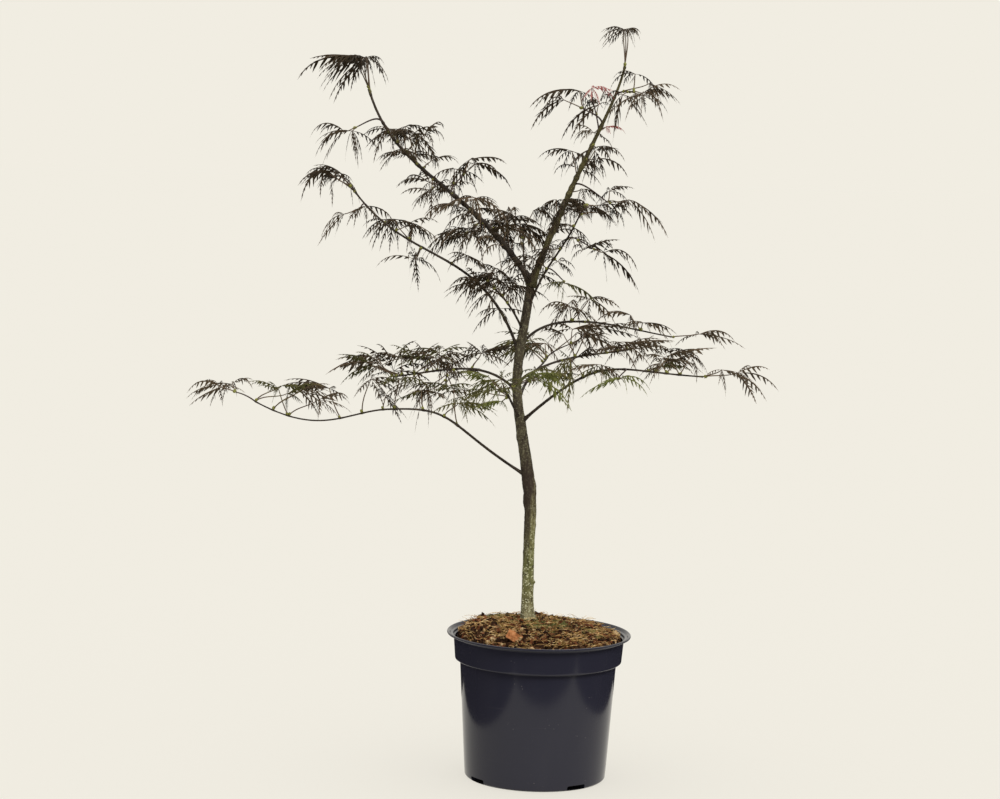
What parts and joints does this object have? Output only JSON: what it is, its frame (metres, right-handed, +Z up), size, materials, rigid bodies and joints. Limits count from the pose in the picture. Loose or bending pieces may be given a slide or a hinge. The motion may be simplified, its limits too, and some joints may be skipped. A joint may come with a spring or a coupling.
{
  "type": "potted japanese maple",
  "caption": "young grafted cut-leaved weeping maple with two leaders and long arching boughs, in a round black nursery pot full of compost",
  "frame": {"origin": "centre of the flat underside of the pot, on the surface that it stands on", "axes": "+Z up along the pot's axis, +X right and -Y towards the front of the plant, where its widest side is seen"},
  "size_m": [0.576, 0.362, 0.774],
  "materials": {
    "pot_plastic": "satin",
    "soil": "matte",
    "bark": "matte",
    "twig": "matte",
    "foliage_dark": "matte",
    "foliage_green": "matte",
    "foliage_new": "matte"
  },
  "bodies": {
    "root": {"pot": "pot_plastic", "soil": "soil", "trunk": "bark", "left_leader": "twig", "right_leader": "twig", "right_spur": "twig", "left_spur": "twig", "back_spur": "twig", "arching_bough": "twig", "low_left_bough": "twig", "low_left_bough_end": "twig", "mid_left_bough": "twig", "front_bough": "twig", "back_bough": "twig", "low_right_bough": "twig", "mid_right_bough": "twig", "right_shoulder_bough": "twig", "foliage_left_top": "foliage_dark", "foliage_left_fall": "foliage_dark", "foliage_left_shoulder": "foliage_dark", "foliage_left_hang": "foliage_dark", "foliage_left_high": "foliage_dark", "foliage_left_inner": "foliage_dark", "foliage_left_under": "foliage_dark", "foliage_heart": "foliage_dark", "foliage_heart_low": "foliage_dark", "foliage_arch_tip": "foliage_dark", "foliage_arch_fall": "foliage_dark", "foliage_arch_top": "foliage_dark", "foliage_arch_hang": "foliage_dark", "foliage_right_top": "foliage_dark", "foliage_right_out": "foliage_dark", "foliage_right_in": "foliage_new", "foliage_right_middle": "foliage_dark", "foliage_right_far": "foliage_dark", "foliage_right_inner": "foliage_dark", "foliage_spur_tip": "foliage_dark", "foliage_spur_out": "foliage_dark", "foliage_spur_low": "foliage_dark", "foliage_back_high": "foliage_dark", "foliage_low_left_tip": "foliage_dark", "foliage_low_left": "foliage_dark", "foliage_mid_left_tip": "foliage_dark", "foliage_mid_left": "foliage_dark", "foliage_mid_root": "foliage_dark", "foliage_mid_under": "foliage_dark", "foliage_front_hang": "foliage_green", "foliage_front_left": "foliage_green", "foliage_front_right": "foliage_green", "foliage_back_left": "foliage_dark", "foliage_back_right": "foliage_dark", "foliage_shoulder_root": "foliage_dark", "foliage_shoulder": "foliage_dark", "foliage_shoulder_tip": "foliage_dark", "foliage_mid_right": "foliage_dark", "foliage_mid_right_out": "foliage_dark", "foliage_low_right": "foliage_green", "foliage_low_right_under": "foliage_green", "foliage_low_right_out": "foliage_dark", "foliage_low_right_tip": "foliage_dark"}
  },
  "joints": []
}
